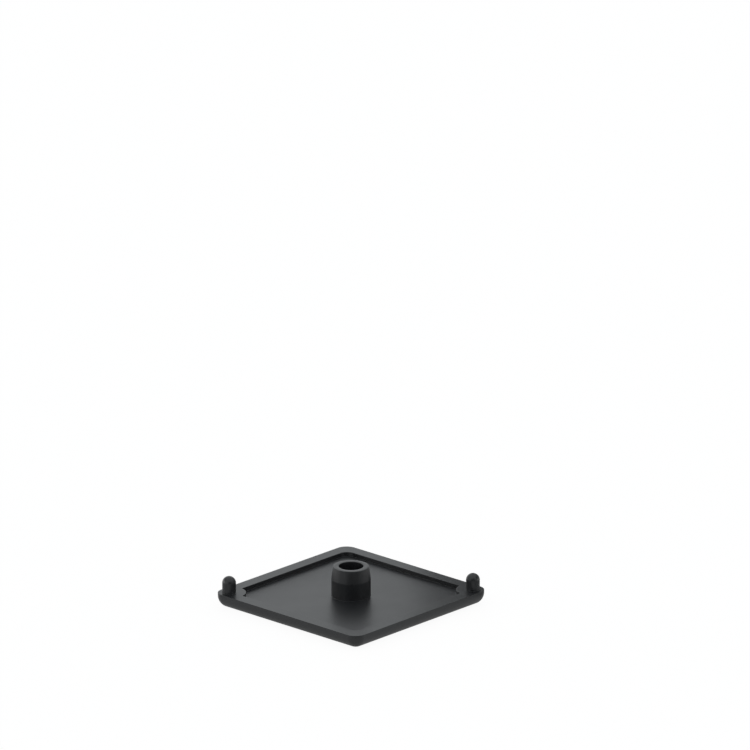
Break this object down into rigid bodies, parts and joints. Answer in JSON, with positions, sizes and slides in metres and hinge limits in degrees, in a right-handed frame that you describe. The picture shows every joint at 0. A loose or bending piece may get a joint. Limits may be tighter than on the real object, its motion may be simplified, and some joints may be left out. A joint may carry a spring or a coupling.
{
  "type": "profile end cap",
  "caption": "Square moulded end cap: a rim round a shallow recess, a hollow tapered boss in the middle, and round-ended locating pins in opposite corners.",
  "frame": {"origin": "middle of the flat outer face, which is the side that shows when the cap is fitted", "axes": "+Z out of the inner side, along the boss; X and Y along the plate's sides, with the pins in the corners where x and y have the same sign"},
  "size_m": [0.045, 0.045, 0.0094],
  "materials": {
    "black_nylon": "satin, moulded black"
  },
  "bodies": {
    "root": {"end_cap": "black_nylon"}
  },
  "joints": []
}
